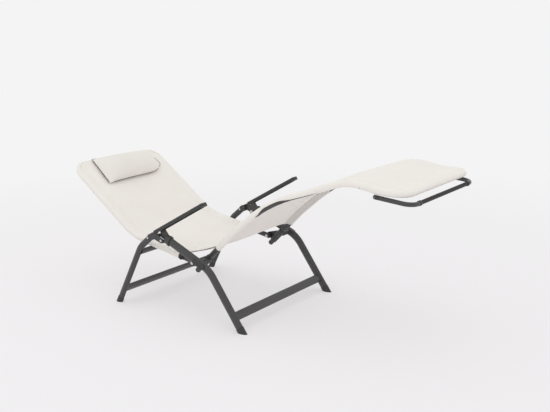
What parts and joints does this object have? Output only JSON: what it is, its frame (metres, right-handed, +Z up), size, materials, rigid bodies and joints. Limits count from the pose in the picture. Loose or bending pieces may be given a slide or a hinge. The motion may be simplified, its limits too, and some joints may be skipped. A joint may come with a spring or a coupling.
{
  "type": "folding sun lounger",
  "caption": "Folding sun lounger with a pale sling, dark tube frame, hinged armrests, raised leg rest, foot bar and head pillow",
  "frame": {"origin": "on the floor, under the middle of the whole lounger's box as it stands open", "axes": "+X points to the foot end, along the longest side; +Y to the sitter's left; +Z up"},
  "size_m": [1.6295, 0.658, 0.6349],
  "materials": {
    "frame_paint": "dark grey powder coat, half gloss",
    "cast_metal": "dark grey paint on castings, half gloss",
    "dark_plastic": "moulded, fine grain",
    "bright_steel": "zinc plated",
    "stop_rubber": "moulded",
    "sling_cloth": "woven, coated yarn",
    "pillow_cloth": "woven, coated yarn, dark piping"
  },
  "bodies": {
    "front_legs": {"front_leg_left": "frame_paint", "front_leg_right": "frame_paint", "front_stretcher": "frame_paint", "front_foot_left": "dark_plastic", "front_foot_right": "dark_plastic", "leg_head_left": "cast_metal", "leg_head_right": "cast_metal", "hinge_bolts": "bright_steel", "leg_stops": "bright_steel", "rest_pins": "bright_steel", "leg_pads": "dark_plastic", "armrest_pins": "bright_steel"},
    "rear_legs": {"rear_leg_left": "frame_paint", "rear_leg_right": "frame_paint", "rear_lower_stretcher": "frame_paint", "rear_upper_stretcher": "frame_paint", "rear_foot_left": "dark_plastic", "rear_foot_right": "dark_plastic", "knuckle_left": "cast_metal", "knuckle_right": "cast_metal", "knuckle_rivets": "bright_steel"},
    "leg_rest": {"leg_rail_left": "frame_paint", "leg_rail_right": "frame_paint", "foot_crossbar": "frame_paint", "rail_knobs": "dark_plastic", "rest_bracket_left": "cast_metal", "rest_bracket_right": "cast_metal", "seat_bolts": "bright_steel", "foot_bar_lugs": "bright_steel", "sling_leg_rest": "sling_cloth"},
    "back_seat": {"back_rail_left": "frame_paint", "back_rail_right": "frame_paint", "head_crossbar": "frame_paint", "seat_rail_plugs": "dark_plastic", "seat_stops": "stop_rubber", "sling_back": "sling_cloth"},
    "foot_bar": {"foot_bar_arm_left": "frame_paint", "foot_bar_arm_right": "frame_paint", "foot_bar_grip": "frame_paint", "foot_bar_collars": "dark_plastic", "foot_bar_forks": "dark_plastic", "foot_bar_pins": "bright_steel"},
    "armrest_left": {"armrest_left": "dark_plastic", "armrest_front_cap_left": "dark_plastic", "armrest_rear_cap_left": "dark_plastic"},
    "armrest_right": {"armrest_right": "dark_plastic", "armrest_front_cap_right": "dark_plastic", "armrest_rear_cap_right": "dark_plastic"},
    "pillow": {"head_pillow": "pillow_cloth"}
  },
  "joints": [
    {"name": "rear_leg_fold", "type": "hinge", "parent": "front_legs", "child": "rear_legs", "pos_m": [-0.25218, 0, 0.30516], "axis": [0, -1, 0], "range_deg": [0, 60]},
    {"name": "leg_rest_fold", "type": "hinge", "parent": "front_legs", "child": "leg_rest", "pos_m": [-0.06045, 0, 0.24219], "axis": [0, -1, 0], "range_deg": [0, 90]},
    {"name": "back_fold", "type": "hinge", "parent": "leg_rest", "child": "back_seat", "pos_m": [-0.13245, 0, 0.22219], "axis": [0, 1, 0], "range_deg": [0, 90]},
    {"name": "foot_bar_swing", "type": "hinge", "parent": "leg_rest", "child": "foot_bar", "pos_m": [0.66573, 0, 0.58647], "axis": [0, 1, 0], "range_deg": [0, 95]},
    {"name": "armrest_left_flip", "type": "hinge", "parent": "front_legs", "child": "armrest_left", "pos_m": [-0.26718, 0.31, 0.34316], "axis": [0, -1, 0], "range_deg": [0, 105]},
    {"name": "armrest_right_flip", "type": "hinge", "parent": "front_legs", "child": "armrest_right", "pos_m": [-0.26718, -0.31, 0.34316], "axis": [0, -1, 0], "range_deg": [0, 105]},
    {"name": "pillow_slide", "type": "slide", "parent": "back_seat", "child": "pillow", "axis": [0.8018, 0, -0.5976], "range_m": [0, 0.12]}
  ],
  "couplings": [
    {"joint": "leg_rest_fold", "follows": "rear_leg_fold", "ratio": 1.5},
    {"joint": "back_fold", "follows": "rear_leg_fold", "ratio": 1.5}
  ]
}
